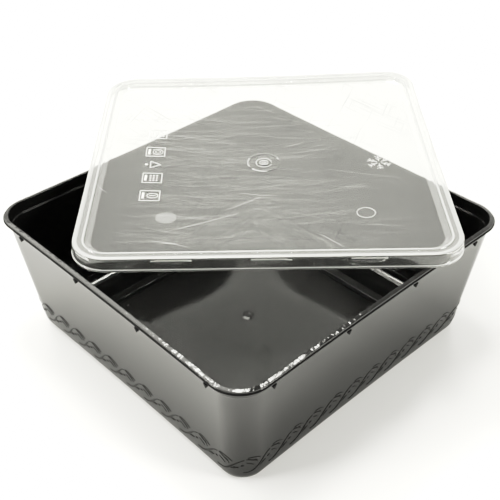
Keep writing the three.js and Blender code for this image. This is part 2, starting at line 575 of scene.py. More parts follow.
def fine_streaks() -> NodeTree:
    """Fine straight rub marks in two directions, with clear patches between them.

    Returns:
        The group.
    """
    graph, given, result = start_group("fine_streaks", {"Vector": None, "Amount": 0.5}, ("Mask",))
    masks = []
    for turn, stretch in ((0.0, (18.0, 1400.0, 18.0)), (1.1, (25.0, 1100.0, 25.0))):
        turned = graph.node(
            "ShaderNodeVectorRotate", {"Vector": given["Vector"], "Angle": turn}, rotation_type="Z_AXIS")
        stretched = graph.node("ShaderNodeMapping", {"Vector": turned.outputs["Vector"], "Scale": stretch})
        lines = graph.noise(stretched.outputs["Vector"], 1.0, 2.0)
        masks.append(graph.math("SMOOTH_MAX", graph.above(lines, 0.6, 6.0), 0.0, 0.1))
    patches = graph.above(graph.noise(given["Vector"], 22.0, 3.0), 0.42, 5.0, clamp=True)
    streaks = graph.math("MULTIPLY", graph.math("ADD", *masks, clamp=True), patches)
    graph.feed(result["Mask"], graph.math("MULTIPLY", streaks, given["Amount"]))
    return graph.tree


def painted_shade_mask() -> NodeTree:
    """A mask that grows evenly from 0 at the floor to 1 at a height, which paints shade on a wall, darker
    towards its foot.

    Returns:
        The group.
    """
    graph, given, result = start_group("painted_shade_mask", {"Vector": None, "Top": 0.1}, ("Mask",))
    place = graph.node("ShaderNodeSeparateXYZ", {0: given["Vector"]})
    graph.feed(result["Mask"], graph.math("DIVIDE", place.outputs["Z"], given["Top"], clamp=True))
    return graph.tree


@dataclass(frozen=True)
class Skins:
    """The node groups that the finishes share."""

    moulded: NodeTree
    streaks: NodeTree
    # height: the mask that paints shade on the outer wall, darker towards its foot.
    height: NodeTree


@dataclass(frozen=True)
class Finish:
    """A moulded plastic finish."""

    name: str
    color: Triple
    roughness: float
    wave: float
    grain: float
    grain_scale: float = 3000.0
    relief: float = 0.0001
    rough_spread: float = 0.0
    rub: float = 0.0
    rub_shade: Triple = (0.1, 0.1, 0.1)
    rub_rough: float = 0.25
    ior: float = 1.49
    specular: float = 0.5
    coat: float = 0.0
    coat_roughness: float = 0.1
    coat_top: float = 0.1
    transmission: float = 0.0
    alpha: float = 1.0

    def material(self, skins: Skins) -> Material:
        """Builds the material.

        Args:
            skins: the shared node groups.

        Returns:
            The material.
        """
        made = bpy.data.materials.new(self.name)
        made.use_nodes = True
        graph = Graph(made.node_tree)
        place = graph.node("ShaderNodeTexCoord").outputs["Object"]
        moulded = {"Vector": place, "Wave": self.wave, "Grain": self.grain, "Grain Scale": self.grain_scale}
        skin = graph.group(skins.moulded, moulded)
        relief = {"Strength": 1.0, "Distance": self.relief, "Height": skin.outputs["Height"]}
        shader = graph.node("ShaderNodeBsdfPrincipled", {
            "Base Color": (*self.color, 1.0),
            "Metallic": 0.0,
            "IOR": self.ior,
            "Specular IOR Level": self.specular,
            "Coat Roughness": self.coat_roughness,
            "Transmission Weight": self.transmission,
            "Alpha": self.alpha,
            "Normal": graph.node("ShaderNodeBump", relief).outputs["Normal"],
        })
        rough: object = self.roughness
        if self.rough_spread > 0.0:
            spread = graph.above(skin.outputs["Tone"], 0.5, self.rough_spread)
            rough = graph.math("ADD", spread, rough, clamp=True)
        # Painted shade: the coat weight grows with the height mask, so the shine fades and the surface reads
        # darker towards the floor.
        if self.coat > 0.0:
            painted_shade_fade = graph.group(skins.height, {"Vector": place, "Top": self.coat_top}).outputs["Mask"]
            graph.feed(shader.inputs["Coat Weight"], graph.math("MULTIPLY", painted_shade_fade, self.coat))
        if self.rub > 0.0:
            mask = graph.group(skins.streaks, {"Vector": place, "Amount": self.rub}).outputs["Mask"]
            colors = {"Factor": mask, "A": (*self.color, 1.0), "B": (*self.rub_shade, 1.0)}
            shade = graph.node("ShaderNodeMix", colors, data_type="RGBA")
            graph.feed(shader.inputs["Base Color"], shade.outputs["Result"])
            rough = graph.math("MULTIPLY_ADD", mask, self.rub_rough, rough, clamp=True)
        graph.feed(shader.inputs["Roughness"], rough)
        graph.node("ShaderNodeOutputMaterial", {"Surface": shader.outputs["BSDF"]})
        return made


# Painted shade: the satin wall's coat fades out towards the floor, so the outer wall reads darker towards
# its foot.
SATIN = Finish("black_satin", (0.004, 0.004, 0.0038), 0.22, 0.5, 0.012, rough_spread=0.1, specular=0.08,
               coat=0.6, coat_roughness=0.22, coat_top=0.078)
GLOSS = Finish("black_gloss", (0.004, 0.004, 0.0038), 0.06, 0.4, 0.0, rough_spread=0.05, specular=0.65)
WORN = Finish("black_worn", (0.011, 0.011, 0.0106), 0.07, 0.4, 0.0, rough_spread=0.06, specular=0.85)
# Painted shade: the inner walls get only a weak shine, so they read near black as in the shade inside the
# tub.
WALL = Finish("black_wall", (0.003, 0.003, 0.003), 0.14, 0.4, 0.0, specular=0.12)
RIM = Finish("black_rim", (0.004, 0.004, 0.0038), 0.07, 0.3, 1.0, grain_scale=380.0, relief=0.0002)
RELIEF = Finish("black_relief", (0.004, 0.004, 0.0038), 0.32, 0.3, 0.004, specular=0.04)
# Painted shade: a dull black with hardly any shine on the flange's outer edge, the floor's groove, the foot
# of the inner round and the lugs, so that they read dark as in shade and show no lamp highlight.
PAINTED_SHADE = Finish("black_painted_shade", (0.003, 0.003, 0.003), 0.5, 0.2, 0.004, specular=0.03)
CLEAR = Finish("lid_clear", (0.8, 0.81, 0.79), 0.05, 0.6, 0.0, rough_spread=0.04, rub=0.7, transmission=0.97)
# Painted highlight: a whiter, less clear copy of the lid plastic on the border's rails and the lip's edge,
# so that they read as bright lines of reflected and guided light.
RAIL_SHINE = Finish("lid_painted_rail_shine", (0.8, 0.81, 0.79), 0.1, 0.4, 0.0, transmission=0.62)
HAZY = Finish("lid_hazy", (0.78, 0.79, 0.77), 0.08, 0.4, 0.0, transmission=0.84)
# The raised signs take this finish as their own; on the snap beads the same whiter finish is a painted
# highlight.
MARKING_AND_SHINE = Finish("lid_marking_and_snap_shine", (0.9, 0.9, 0.87), 0.4, 0.1, 0.0, transmission=0.35)
SOFT = Finish("lid_soft", (0.85, 0.86, 0.84), 0.5, 0.0, 0.0, alpha=0.11)
HAZE = Finish("lid_haze", (0.85, 0.86, 0.84), 0.5, 0.0, 0.0, alpha=0.018)


# ---------------------------------------------------------------- tub


class TubPart(IntEnum):
    """Parts of the tub's shell that differ in finish, some of them in painted shade, as the numbers of its
    materials.
    """

    OUTSIDE = 0
    FLOOR_ROUND = 1
    EDGE = 2
    FLOOR = 3
    RIM = 4
    INNER_WALL = 5


TUB_FINISHES = {
    TubPart.OUTSIDE: SATIN,
    TubPart.FLOOR_ROUND: GLOSS,
    TubPart.EDGE: PAINTED_SHADE,
    TubPart.FLOOR: WORN,
    TubPart.RIM: RIM,
    TubPart.INNER_WALL: WALL,
}


@dataclass
class Tub:
    """The black tub, in millimetres, with its own origin at the middle of its base."""

    centre: Pair
    rim_half: float
    bead_top: float
    rim_corner: float = 19.0
    flange: float = 1.2
    flange_reach: float = 2.6
    seal_rise: float = 1.1
    seal_width: float = 2.4
    seal_inset: float = 0.7
    seal_lean: float = 0.5
    seal_round: float = 0.3
    seal_foot: float = 0.2
    seal_side: float = 0.1
    seal_ease: float = 0.3
    rim_round: float = 0.3
    edge_round: float = 0.4
    crown: float = 0.42
    crown_width: float = 0.6
    crown_round: float = 0.15
    crown_share: float = 0.3
    edge_depth: float = 0.62
    wall: float = 1.1
    step_top: float = 76.0
    step_low: float = 75.3
    step_out: float = 0.6
    step_round: float = 0.5
    inner_step_round: float = 0.6
    band_draft: float = 0.2
    base_half: float = 96.25
    base_corner: float = 14.5
    base_round: float = 8.0
    side_bow: float = 0.7
    foot_inner: float = 70.0
    foot_slope: float = 3.0
    foot_round: float = 1.5
    floor_level: float = 2.1
    floor_corner: float = 3.0
    bowl_from: float = 32.0
    bowl_curve: float = 0.0012
    bowl_fade: Pair = (57.0, 67.0)
    floor_edge: float = 82.0
    floor_sill: float = 1.1
    groove_side: float = 1.6
    groove_round: float = 0.5
    hollow_side: float = 1.2
    hollow_round: float = 0.8
    inner_round: float = 11.5
    shine_from: float = 5.4
    shine_to: float = 9.5
    gate_round: float = 10.0
    gate_radius: float = 3.6
    gate_slope: Pair = (1.3, 0.3)
    gate_rise: float = 0.7
    dimple: Pair = (0.8, 2.2)
    dimple_depth: float = 0.42
    bead_ripple: float = 0.12
    ripple_margin: float = 0.5
    ripple_skew: float = 0.5
    ripple_waves: tuple[Pair, ...] = ((1.9, 0.0), (0.83, 2.0), (0.31, 1.0))
    near_loops: int = 16
    far_loops: int = 12
    round_steps: int = 6
    longest_piece: float = 6.0
    steps: LoopSteps = LoopSteps(corner=14, side=100)
    lug_places: tuple[float, ...] = (-81.3, -27.2, 27.2, 81.3)
    lug_width: float = 2.8
    lug_height: float = 2.9
    lug_proud: float = 1.0
    lug_root: float = 0.55
    lug_drop: float = 0.1
    lug_bevel: float = 0.18

    @property
    def rim_top(self) -> float:
        """Top of the flange."""
        return self.bead_top - self.seal_rise

    @property
    def wall_top_half(self) -> float:
        """Outer half side just under the flange."""
        return self.rim_half - self.flange_reach

    @property
    def step_half(self) -> float:
        """Outer half side just under the stacking step."""
        return self.wall_top_half - self.band_draft - self.step_out

    @property
    def seal_inner(self) -> float:
        """Half side of the sealing bead's inner edge."""
        return self.rim_half - self.seal_inset - self.seal_width

    @property
    def hollow(self) -> float:
        """Half side of the raised middle of the floor and the hollow under it."""
        return self.foot_inner - self.foot_slope

    @property
    def draft(self) -> float:
        """How fast the wall moves out with height."""
        return (self.step_half - self.base_half) / (self.step_low - self.base_round)

    def wall_half(self, z: Array | float) -> Array | float:
        """Outer half side of the wall at a height."""
        return self.base_half + (z - self.base_round) * self.draft

    def corner(self, half: float, z: float) -> float:
        """Corner radius that belongs to a half side at a height.

        Args:
            half: the half side.
            z: the height.

        Returns:
            The radius.
        """
        if z >= self.step_low:
            return self.rim_corner - (self.rim_half - half)
        top = self.rim_corner - (self.rim_half - self.step_half)
        share = max(0.0, (z - self.base_round) / (self.step_low - self.base_round))
        radius = self.base_corner + (top - self.base_corner) * share
        inset = float(self.wall_half(max(z, self.base_round))) - half
        return max(self.floor_corner, radius - inset)

    def bowl(self, flat: Array, half: float) -> Array:
        """How far the floor and the hollow under it rise towards their corners.

        Args:
            flat: (n, 2) places of one loop.
            half: half side of that loop.

        Returns:
            The rise at each place.
        """
        away = np.clip(np.linalg.norm(flat, axis=1) - self.bowl_from, 0.0, None)
        fade = 1.0 - float(smooth_step(np.array(half), *self.bowl_fade))
        return self.bowl_curve * away ** 2 * fade

    def gate(self, half: float) -> float:
        """Height of the small raised disc where the melt came in.

        Args:
            half: half side of the loop.

        Returns:
            How far the disc stands up there.
        """
        within, beyond = self.gate_slope
        edge = 1.0 - float(smooth_step(np.array(half), self.gate_radius - within, self.gate_radius + beyond))
        dimple = 1.0 - float(smooth_step(np.array(half), *self.dimple))
        return self.gate_rise * edge - self.dimple_depth * dimple

    def floor_halves(self) -> list[float]:
        """Half sides of the loops in the floor's hollow, from the middle outwards.

        Returns:
            The half sides.
        """
        room = self.hollow - self.gate_round
        near = [self.gate_round * k / self.near_loops for k in range(1, self.near_loops + 1)]
        far = [self.gate_round + room * k / self.far_loops for k in range(1, self.far_loops)]
        return [*near, *far]

    def outside(self) -> Section:
        """Section from the middle of the underside round the wall to the flange's edge.

        Returns:
            The points as (half, z).
        """
        reach = self.base_half - self.base_round * self.draft
        under = self.rim_top - self.flange
        knees = [
            Knee(self.hollow, self.floor_level),
            Knee(self.foot_inner, 0.0, self.foot_round),
            Knee(reach, 0.0, self.base_round),
            Knee(self.step_half, self.step_low, self.step_round),
            Knee(self.step_half + self.step_out, self.step_top, self.edge_round),
            Knee(self.wall_top_half, under, self.edge_round),
            Knee(self.rim_half, under, self.rim_round),
            Knee(self.rim_half, self.rim_top - self.flange / 2),
        ]
        middle = [(half, self.floor_level) for half in self.floor_halves()]
        return [*middle, *section_line(knees, self.round_steps, self.longest_piece)]

    def inside(self) -> Section:
        """Section from the flange's edge over the bead and down to the middle of the floor.

        Returns:
            The points as (half, z).
        """
        seal_outer = self.rim_half - self.seal_inset
        shoulder = self.rim_top - self.crown_share * self.crown
        inner_step = self.step_half - self.wall
        low_half = self.base_half - self.wall
        step_z = self.step_low - self.wall / 2
        slope = (inner_step - low_half) / (step_z - self.base_round)
        ledge = self.wall + self.floor_sill
        raised = self.floor_level + self.wall
        inwards = [(half, raised + self.gate(half)) for half in reversed(self.floor_halves())]
        knees = [
            Knee(self.rim_half, self.rim_top - self.flange / 2),
            Knee(self.rim_half, self.rim_top - self.crown, self.crown_round),
            Knee(self.rim_half - self.crown_width, shoulder, self.edge_round),
            Knee(seal_outer, self.rim_top, self.seal_foot),
            Knee(seal_outer - self.seal_side, self.bead_top - self.seal_lean, self.seal_round),
            Knee(self.seal_inner + self.seal_ease, self.bead_top, self.seal_round),
            Knee(self.seal_inner, self.bead_top - self.seal_ease, self.seal_foot),
            Knee(inner_step + self.step_out, self.step_top - self.wall / 2, self.step_round),
            Knee(inner_step, step_z, self.inner_step_round),
            Knee(low_half - self.inner_round * slope, ledge, self.inner_round),
            Knee(self.foot_inner + self.groove_side, ledge, self.groove_round),
            Knee(self.foot_inner, self.wall, self.groove_round),
            Knee(self.hollow + self.hollow_side, self.wall, self.groove_round),
            Knee(self.hollow, raised, self.hollow_round),
            Knee(*inwards[0]),
        ]
        return [*section_line(knees, self.round_steps, self.longest_piece), *inwards[1:]]

    def ring(self, half: float, z: float) -> Array:
        """One loop of the shell in millimetres, in the tub's frame.

        Args:
            half: half side.
            z: height.

        Returns:
            (n, 3) points.
        """
        shown = max(half, self.hollow)
        bow = self.side_bow * min(1.0, shown / self.base_half)
        flat = self.steps.loop(shown, self.corner(shown, z), bow).points
        if half < self.hollow:
            flat = rounding_off(flat, half / self.hollow, self.gate_round / self.hollow)
        points = np.column_stack((flat, np.full(len(flat), z)))
        if half < self.hollow:
            points[:, 2] += self.bowl(flat, half)
        if z > self.rim_top - self.flange and half > self.seal_inner - self.ripple_margin:
            share = (z - (self.rim_top - self.flange)) / (self.flange + self.seal_rise)
            around = np.arange(len(points)) + self.ripple_skew * half
            ripple = sum(np.sin(around * pace + start) for pace, start in self.ripple_waves)
            points[:, 2] += self.bead_ripple * share * (ripple / len(self.ripple_waves) - 1.0)
        return points

    def part_at(self, half: float, z: float, outer: bool) -> TubPart:
        """Which part of the shell a place of its section belongs to.

        Args:
            half: half side of the loop there.
            z: its height.
            outer: whether it is on the outside's section.

        Returns:
            The part.
        """
        ledge = self.foot_inner + self.groove_side
        # The flange's outer edge takes the dull black of painted shade.
        if half > self.rim_half - self.edge_depth:
            return TubPart.EDGE
        if outer:
            return TubPart.OUTSIDE
        if half > self.seal_inner and z > self.step_top:
            return TubPart.RIM
        if z < self.base_round and (half < self.hollow or ledge < half < self.floor_edge):
            return TubPart.FLOOR
        # Painted shade: the groove and the foot of the inner round take the dull black, so they read dark
        # and show no lamp highlight.
        if z < self.shine_from:
            return TubPart.EDGE
        # Above the shining band the inner wall takes the weak shine of painted shade.
        return TubPart.FLOOR_ROUND if z < self.shine_to else TubPart.INNER_WALL

    def to_row(self, points: Array) -> Array:
        """Points in the row frame, in metres."""
        return (points + np.array((*self.centre, 0.0))) * MM

    def build_shell(self, materials: Sequence[Material]) -> Object:
        """The moulded shell.

        Args:
            materials: one for each part of the shell, in the parts' order.

        Returns:
            The piece that stands for the tub.
        """
        outside, inside = self.outside(), self.inside()[1:]
        rings = [self.ring(half, z) for half, z in (*outside, *inside)]
        around = len(rings[0])
        below = np.array([[0.0, 0.0, self.floor_level]])
        above = np.array([[0.0, 0.0, self.floor_level + self.wall + self.gate(0.0)]])
        parts = MeshParts()
        parts.add(self.to_row(np.concatenate((below, *rings, above))), shell_faces(len(rings), around))
        bands = [self.part_at(half, z, True) for half, z in outside]
        bands += [self.part_at(half, z, False) for half, z in inside]
        parts.finishes = [band.value for band in (bands[0], *bands) for _ in range(around)]
        shell = parts.piece("tub_shell", materials, Slot.TUB)
        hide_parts("tub")
        return shell

    def side_point(self, side: Array | int, along: Array, out: Array, z: Array) -> Array:
        """Points beside the walls, turned to their sides.

        Args:
            side: 0 is the side towards -Y, and the others follow counter-clockwise.
            along: place along the side.
            out: distance from the tub's middle.
            z: height.

        Returns:
            (n, 3) points in the row frame, in metres.
        """
        angle = side * math.pi / 2
        cos, sin = np.cos(angle), np.sin(angle)
        return self.to_row(np.stack((along * cos + out * sin, along * sin - out * cos, z), axis=-1))

    def build_lugs(self, shade_finish: Material) -> Object:
        """The small triangular lugs under the stacking step, four to a side.

        Args:
            shade_finish: their material.

        Returns:
            The piece with all the lugs.
        """
        # The lugs take the dull black of painted shade, so they read dark as in shade.
        parts = MeshParts()
        straight = self.step_half - self.corner(self.step_half, self.step_low)
        top = self.step_low - self.lug_drop
        sections = (
            (-self.lug_root, 0.0, 0.5),
            (self.lug_proud - self.lug_bevel, 0.0, 1.0),
            (self.lug_proud, self.lug_bevel, 1.0),
        )
        faces = [(2, 1, 0), (6, 7, 8)]
        for ring in (0, 3):
            for k, after in ((0, 1), (1, 2), (2, 0)):
                faces.append((ring + k, ring + after, ring + 3 + after, ring + 3 + k))
        for side in range(4):
            for place in self.lug_places:
                pull = self.side_bow * (1 - min(1.0, abs(place) / straight) ** 2)
                rings = []
                for proud, inset, lean in sections:
                    along = place + np.array((-1.0, 0.0, 1.0)) * (self.lug_width / 2 - 2 * inset)
                    z = np.array((top - inset, top - self.lug_height + 2 * inset, top - inset))
                    out = self.wall_half(top) - pull + proud - (top - z) * self.draft * lean
                    rings.append(self.side_point(side, along, out, z))
                parts.add(np.concatenate(rings), faces)
        lugs = parts.piece("tub_lugs", (shade_finish,), Slot.TUB)
        lugs.data.polygons.foreach_set("use_smooth", [False] * len(lugs.data.polygons))
        return lugs


@dataclass(frozen=True)
class Stroke:
    """A brush-like stroke: its curve, pieces along it, width at its ends, its swelling and where that is."""

    ends: Curve
    steps: int
    thin: float
    swell: float
    widest: float

    @property
    def path(self) -> Array:
        """Its points."""
        return bezier(self.ends, self.steps)

    @property
    def widths(self) -> Array:
        """Its width at each point.

        Returns:
            One width for each point.
        """
        share = np.linspace(0.0, 1.0, self.steps + 1)
        side = np.where(share < self.widest, share / self.widest, (1.0 - share) / (1.0 - self.widest))
        return self.thin + self.swell * np.sin(side * math.pi / 2) ** 2


@dataclass
class ScrollBand:
    """The traditional running scroll that goes round the tub just above its base, as thin relief."""

    tub: Tub
    motifs: int = 47
    level: float = 10.7
    first_foot: float = -27.75
    middle: float = 18.0
    rib: Rib = Rib(height=0.22, sunk=0.12)
    stem: Stroke = Stroke(
        ((-5.5, -1.3), (1.5, -1.8), (4.0, 3.0), (6.5, 8.5), (11.2, 10.4)), 18, 0.3, 1.2, 0.45)
    fork: Stroke = Stroke(((3.6, 2.0), (5.6, 2.4), (8.1, 3.9)), 6, 0.3, 2.0, 0.6)
    bud: Stroke = Stroke(((9.3, 4.6), (10.1, 5.2), (11.0, 5.6)), 6, 0.4, 1.6, 0.5)
    first_leaf: Stroke = Stroke(((12.2, 10.8), (14.8, 10.6), (16.8, 8.4)), 8, 0.3, 0.9, 0.6)
    second_leaf: Stroke = Stroke(((15.6, 9.6), (18.0, 8.8), (18.9, 5.9)), 8, 0.3, 1.3, 0.45)
    tendril: Stroke = Stroke(((12.4, 7.6), (14.8, 6.8), (16.6, 4.6)), 6, 0.25, 0.2, 0.5)
    arch: Stroke = Stroke(((13.0, 12.0), (16.0, 12.6), (19.4, 10.8), (20.9, 8.6)), 10, 0.22, 0.1, 0.5)

    @property
    def middle_half(self) -> float:
        """Outer half side at the band's middle."""
        return float(self.tub.wall_half(self.middle))

    @property
    def straight(self) -> float:
        """Half of a side's straight stretch at the band's middle."""
        return self.middle_half - self.tub.corner(self.middle_half, self.middle)

    @property
    def arc(self) -> float:
        """Length round a corner at the band's middle."""
        return (self.middle_half - self.straight) * math.pi / 2

    def place(self, along: Array, z: Array, height: Array) -> Array:
        """Puts band coordinates on the tub's outer wall.

        Args:
            along: distance round the tub, from the middle of the side towards -Y, to the right.
            z: height above the band's lower edge.
            height: distance out from the wall.

        Returns:
            (n, 3) points in the row frame, in metres.
        """
        tub, straight, arc = self.tub, self.straight, self.arc
        level = z + self.level
        quarter = 2 * straight + arc
        sides = np.floor((along + straight) / quarter)
        local = along - sides * quarter
        half = tub.wall_half(level)
        radius = np.array([tub.corner(float(h), float(v)) for h, v in zip(half, level)])
        share = np.clip(local / straight, -1.0, 1.0)
        bend = np.clip((local - straight) / arc, 0.0, 1.0) * math.pi / 2
        pull = tub.side_bow * (1 - share ** 2)
        across = share * (half - radius) + (radius + height) * np.sin(bend)
        out = half - radius + (radius + height) * np.cos(bend) - pull
        return tub.side_point(sides, across, out, level - height * tub.draft)

    def build(self, finish: Material) -> Object:
        """All the motifs of the band.

        Args:
            finish: their material.

        Returns:
            The piece.
        """
        pitch = 4 * (2 * self.straight + self.arc) / self.motifs
        leaves = (self.first_leaf, self.second_leaf)
        strokes = (self.stem, self.fork, self.bud, *leaves, self.tendril, self.arch)
        parts = MeshParts()
        for motif in range(self.motifs):
            foot = (self.first_foot + motif * pitch, 0.0)
            for stroke in strokes:
                raised_line(parts, stroke.path + foot, stroke.widths, self.rib, self.place)
        return parts.piece("tub_scroll", (finish,), Slot.TUB)


# ---------------------------------------------------------------- lid


class LidPart(IntEnum):
    """Parts of the lid's shell that differ in finish, some of them in painted highlight, as the numbers of
    its materials.
    """

    CLEAR = 0
    RAIL = 1
    BESIDE = 2
    SNAP = 3


LID_FINISHES = {
    LidPart.CLEAR: CLEAR,
    LidPart.RAIL: RAIL_SHINE,
    LidPart.BESIDE: HAZY,
    LidPart.SNAP: MARKING_AND_SHINE,
}


@dataclass
class Lid:
    """The clear lid, in millimetres, in its own frame: u to the right, v away, z up from its lip."""

    centre: Pair
    lip_z: float
    turn: float = math.radians(47.3)
    half: float = 108.8
    lip_corner: float = 20.9
    height: float = 8.0
    wall: float = 0.7
    lip_height: float = 1.1
    lip_proud: float = 0.5
    lip_low: float = 0.6
    lip_ease: float = 0.4
    skirt_lean: float = 0.15
    border_round: float = 1.3
    crease: float = 0.3
    rail_dip: float = 0.6
    rail_fall: float = 0.05
    outer_rail: float = 2.7
    inner_rail: float = 1.0
    rail_side: float = 0.4
    border_width: float = 7.3
    inner_lean: float = 3.4
    inner_sills: Pair = (1.3, 1.7)
    sill_round: float = 0.5
    panel_round: float = 0.6
    panel_flat: float = 2.0
    panel_recess: float = 3.2
    panel_sag: float = 3.4
    panel_corner: float = 0.12
    curl: float = 4.5
    curl_power: float = 2.5
    gate_round: float = 16.0
    gate_disc: float = 5.0
    gate_slope: float = 0.6
    gate_ring: float = 10.2
    gate_ring_width: float = 0.7
    gate_ring_share: float = 0.8
    gate_rise: float = 0.35
    dimple: Pair = (0.8, 2.0)
    dimple_share: float = 0.7
    snap_places: tuple[float, ...] = (-53.5, -0.5, 52.5)
    snap_length: float = 21.0
    snap_depth: float = 0.5
    snap_fade: Pair = (1.5, 0.5)
    snap_margin: float = 1.0
    snap_shine_share: float = 0.3
    snap_corner: Pair = (7.0, 9.0)
    snap_low: float = 4.7
    snap_high: float = 7.2
    snap_shine: Pair = (5.5, 6.8)
    rail_edge: float = 0.1
    rail_share: float = 0.6
    lip_edge: float = 0.25
    under_round: float = 0.5
    edge_piece: float = 0.8
    under_piece: float = 2.5
    far_loops: int = 22
    near_loops: int = 32
    round_steps: int = 5
    steps: LoopSteps = LoopSteps(corner=14, side=72)

    @property
    def border_inner(self) -> float:
        """Half side of the border's inner edge."""
        return self.half - self.border_width

    @property
    def panel_half(self) -> float:
        """Half side of the panel."""
        return self.border_inner - self.inner_lean

    @property
    def panel_edge(self) -> float:
        """Half side of the panel's outermost loop."""
        return self.panel_half - self.panel_flat

    def corner(self, half: float) -> float:
        """Corner radius that belongs to a half side."""
        return max(self.lip_corner - (self.half - half), self.panel_corner * half)

    def curl_rise(self, u: Array, v: Array) -> Array:
        """How far the curled corner lifts a place."""
        return self.curl * np.clip((u + v) / (2 * self.half), 0.0, None) ** self.curl_power

    def panel_z(self, u: Array, v: Array) -> Array:
        """Height of the sagging panel's upper face, with the round mark in its middle.

        Args:
            u: places to the right.
            v: places away.

        Returns:
            The height at each place.
        """
        sag = (1 - np.clip(u / self.panel_half, -1, 1) ** 2) * (1 - np.clip(v / self.panel_half, -1, 1) ** 2)
        away = np.hypot(u, v)
        disc = 1.0 - smooth_step(away, self.gate_disc - self.gate_slope, self.gate_disc + self.gate_slope)
        ring = np.exp(-((away - self.gate_ring) / self.gate_ring_width) ** 2)
        dimple = 1.0 - smooth_step(away, *self.dimple)
        level = self.height - self.panel_recess - self.panel_sag * sag
        return level + self.gate_rise * (disc + self.gate_ring_share * ring - self.dimple_share * dimple)

    def edge_knees(self) -> list[Knee]:
        """Corners of the upper face from the lip over the border to the panel's edge.

        Returns:
            The corners in order.
        """
        skirt = self.half - self.lip_proud
        shoulder = skirt - self.skirt_lean
        inner, crease = self.border_inner, self.crease
        outer_end = shoulder - self.outer_rail
        inner_start = inner + self.inner_rail
        dip = self.height - self.rail_dip
        panel = self.height - self.panel_recess
        upper_sill, lower_sill = (self.height - drop for drop in self.inner_sills)
        return [
            Knee(self.half, 0.0),
            Knee(self.half, self.lip_height, crease),
            Knee(skirt, self.lip_height + self.lip_ease, crease),
            Knee(shoulder, self.height, self.border_round),
            Knee(outer_end, self.height - self.rail_fall, crease),
            Knee(outer_end - self.rail_side, dip, crease),
            Knee(inner_start + self.rail_side, dip, crease),
            Knee(inner_start, self.height, crease),
            Knee(inner, self.height, self.sill_round),
            Knee(inner - self.rail_side, upper_sill, crease),
            Knee((inner + self.panel_half) / 2, lower_sill, self.sill_round),
            Knee(self.panel_half, panel, self.panel_round),
            Knee(self.panel_edge, panel),
        ]

    def snap_inset(self, u: Array, v: Array, z: float) -> Array:
        """How far the snap beads press the skirt in.

        Args:
            u: places to the right.
            v: places away.
            z: height of the loop.

        Returns:
            The distance at each place.
        """
        share = (z - self.snap_low) / (self.snap_high - self.snap_low)
        rise = math.sin(math.pi * min(1.0, max(0.0, share)))
        wide, deep = np.abs(u), np.abs(v)
        along = np.minimum(wide, deep) * np.where(wide < deep, np.sign(u), np.sign(v))
        inset = np.zeros(len(u))
        within, beyond = self.snap_fade
        for place in self.snap_places:
            away = np.abs(along - place)
            inset += 1.0 - smooth_step(away, self.snap_length / 2 - within, self.snap_length / 2 + beyond)
        near = np.minimum(wide, deep) > self.half - self.lip_corner
        inset += np.where(near, 1.0 - smooth_step(np.abs(wide - deep), *self.snap_corner), 0.0)
        return self.snap_depth * rise * np.clip(inset, 0.0, 1.0)

    def to_row(self, u: Array, v: Array, z: Array) -> Array:
        """Points of the lid's frame in the row frame, in metres.

        Args:
            u: places to the right.
            v: places away.
            z: heights above the lip.

        Returns:
            (n, 3) points.
        """
        cos, sin = math.cos(self.turn), math.sin(self.turn)
        x = u * cos - v * sin + self.centre[0]
        y = u * sin + v * cos + self.centre[1]
        return np.stack((x, y, z + self.curl_rise(u, v) + self.lip_z), axis=-1) * MM

    def edge_ring(self, half: float, z: float) -> Array:
        """One loop of the lid's edge in the row frame, in metres.

        Args:
            half: half side of the loop.
            z: its height.

        Returns:
            (n, 3) points.
        """
        loop = self.steps.loop(half, self.corner(half))
        u, v = loop.points.T
        if half > self.half - self.lip_proud - self.wall - self.snap_margin:
            points = loop.points - loop.normals * self.snap_inset(u, v, z)[:, None]
            u, v = points.T
        return self.to_row(u, v, np.full(len(u), z))

    def panel_ring(self, half: float, drop: float) -> Array:
        """One loop of the panel in the row frame, in metres.

        Args:
            half: half side of the loop.
            drop: how far it lies under the upper face.

        Returns:
            (n, 3) points.
        """
        edge = self.panel_edge
        outer = self.steps.loop(edge, self.corner(edge)).points
        u, v = rounding_off(outer, half / edge, self.gate_round / edge).T
        return self.to_row(u, v, self.panel_z(u, v) - drop)

    def panel_halves(self) -> list[float]:
        """Half sides of the panel's loops from its edge inwards.

        Returns:
            The half sides.
        """
        room = self.gate_round - self.panel_edge
        far = [self.panel_edge + room * k / self.far_loops for k in range(1, self.far_loops + 1)]
        near = [self.gate_round * (1 - k / self.near_loops) for k in range(1, self.near_loops)]
        return [*far, *near]

    def part_at(self, half: float, z: float) -> LidPart:
        """Which part of the shell's upper face a place of its section belongs to.

        Args:
            half: half side of the loop there.
            z: its height.

        Returns:
            The part.
        """
        # The rail tops and the lip's edge take the whiter finish of painted highlight.
        rail_low = self.height - self.rail_share * self.rail_dip
        on_rail = half > self.border_inner - self.rail_edge and z > rail_low
        if on_rail or half > self.half - self.lip_edge and z > self.lip_low:
            return LidPart.RAIL
        beside = self.panel_half < half < self.half - self.outer_rail and z > self.height - self.panel_recess
        return LidPart.BESIDE if beside else LidPart.CLEAR

